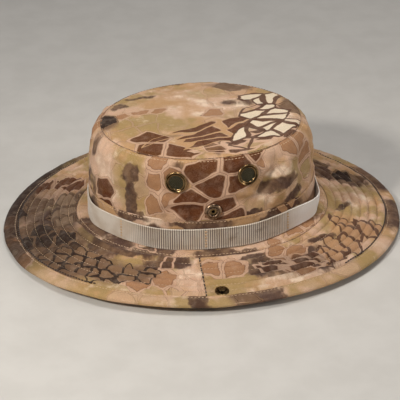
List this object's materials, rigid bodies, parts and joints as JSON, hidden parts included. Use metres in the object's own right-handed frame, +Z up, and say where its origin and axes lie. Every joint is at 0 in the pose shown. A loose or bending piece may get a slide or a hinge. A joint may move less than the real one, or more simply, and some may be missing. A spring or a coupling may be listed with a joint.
{
  "type": "boonie hat",
  "caption": "Wide-brimmed cloth field hat with a screened, vented crown, a webbing band of branch loops, and side brims that fold up and snap to the crown.",
  "frame": {"origin": "middle of the underside of the hat's box, on the table it lies on", "axes": "+Z up through the crown, +X towards the wearer's front, -Y towards the wearer's right"},
  "size_m": [0.3574, 0.3122, 0.1062],
  "materials": {
    "printed_ripstop_cloth": "matte printed cotton ripstop in a cell-patterned camouflage",
    "brim_stiffener": "stiff woven interlining",
    "seam_tape": "twill tape",
    "sweatband_cloth": "soft cotton",
    "label_cloth": "plain woven label, blank",
    "branch_loop_webbing": "ribbed grosgrain webbing",
    "tack_thread": "polyester thread",
    "vent_brass": "antiqued",
    "vent_screen_metal": "dark woven screen",
    "snap_brass": "antiqued"
  },
  "bodies": {
    "crown": {"branch_loop_webbing": "branch_loop_webbing", "brim_interlining_centre": "brim_stiffener", "brim_interlining_fold_left": "brim_stiffener", "brim_interlining_fold_right": "brim_stiffener", "brim_lower_back": "printed_ripstop_cloth", "brim_lower_fold_left": "printed_ripstop_cloth", "brim_lower_fold_right": "printed_ripstop_cloth", "brim_lower_front": "printed_ripstop_cloth", "brim_upper_back": "printed_ripstop_cloth", "brim_upper_fold_left": "printed_ripstop_cloth", "brim_upper_fold_right": "printed_ripstop_cloth", "brim_upper_front": "printed_ripstop_cloth", "crown_base_band": "printed_ripstop_cloth", "crown_foot_facing": "printed_ripstop_cloth", "crown_seam_tape": "seam_tape", "crown_side_panel_left": "printed_ripstop_cloth", "crown_side_panel_right": "printed_ripstop_cloth", "crown_top_panel": "printed_ripstop_cloth", "edge_binding_back": "printed_ripstop_cloth", "edge_binding_fold_left": "printed_ripstop_cloth", "edge_binding_fold_right": "printed_ripstop_cloth", "edge_binding_front": "printed_ripstop_cloth", "size_label": "label_cloth", "snap_socket_cap_left": "snap_brass", "snap_socket_cap_right": "snap_brass", "snap_socket_left": "snap_brass", "snap_socket_right": "snap_brass", "sweatband": "sweatband_cloth", "vent_eyelet_left_front": "vent_brass", "vent_eyelet_left_rear": "vent_brass", "vent_eyelet_right_front": "vent_brass", "vent_eyelet_right_rear": "vent_brass", "vent_screen_left_front": "vent_screen_metal", "vent_screen_left_rear": "vent_screen_metal", "vent_screen_right_front": "vent_screen_metal", "vent_screen_right_rear": "vent_screen_metal", "vent_washer_left_front": "vent_brass", "vent_washer_left_rear": "vent_brass", "vent_washer_right_front": "vent_brass", "vent_washer_right_rear": "vent_brass", "webbing_tacks": "tack_thread"},
    "brim_flap_right": {"brim_interlining_flap_right": "brim_stiffener", "brim_lower_flap_right": "printed_ripstop_cloth", "brim_upper_flap_right": "printed_ripstop_cloth", "edge_binding_flap_right": "printed_ripstop_cloth", "snap_stud_cap_right": "snap_brass", "snap_stud_right": "snap_brass"},
    "brim_flap_left": {"brim_interlining_flap_left": "brim_stiffener", "brim_lower_flap_left": "printed_ripstop_cloth", "brim_upper_flap_left": "printed_ripstop_cloth", "edge_binding_flap_left": "printed_ripstop_cloth", "snap_stud_cap_left": "snap_brass", "snap_stud_left": "snap_brass"}
  },
  "joints": [
    {"name": "right_brim_fold", "type": "hinge", "parent": "crown", "child": "brim_flap_right", "pos_m": [0, -0.096, 0.0145], "axis": [-1, 0, 0], "range_deg": [0, 107], "deforming": ["brim_interlining_fold_right", "brim_lower_fold_right", "brim_upper_fold_right", "edge_binding_fold_right"]},
    {"name": "left_brim_fold", "type": "hinge", "parent": "crown", "child": "brim_flap_left", "pos_m": [0, 0.096, 0.0145], "axis": [1, 0, 0], "range_deg": [0, 107], "deforming": ["brim_interlining_fold_left", "brim_lower_fold_left", "brim_upper_fold_left", "edge_binding_fold_left"]}
  ]
}
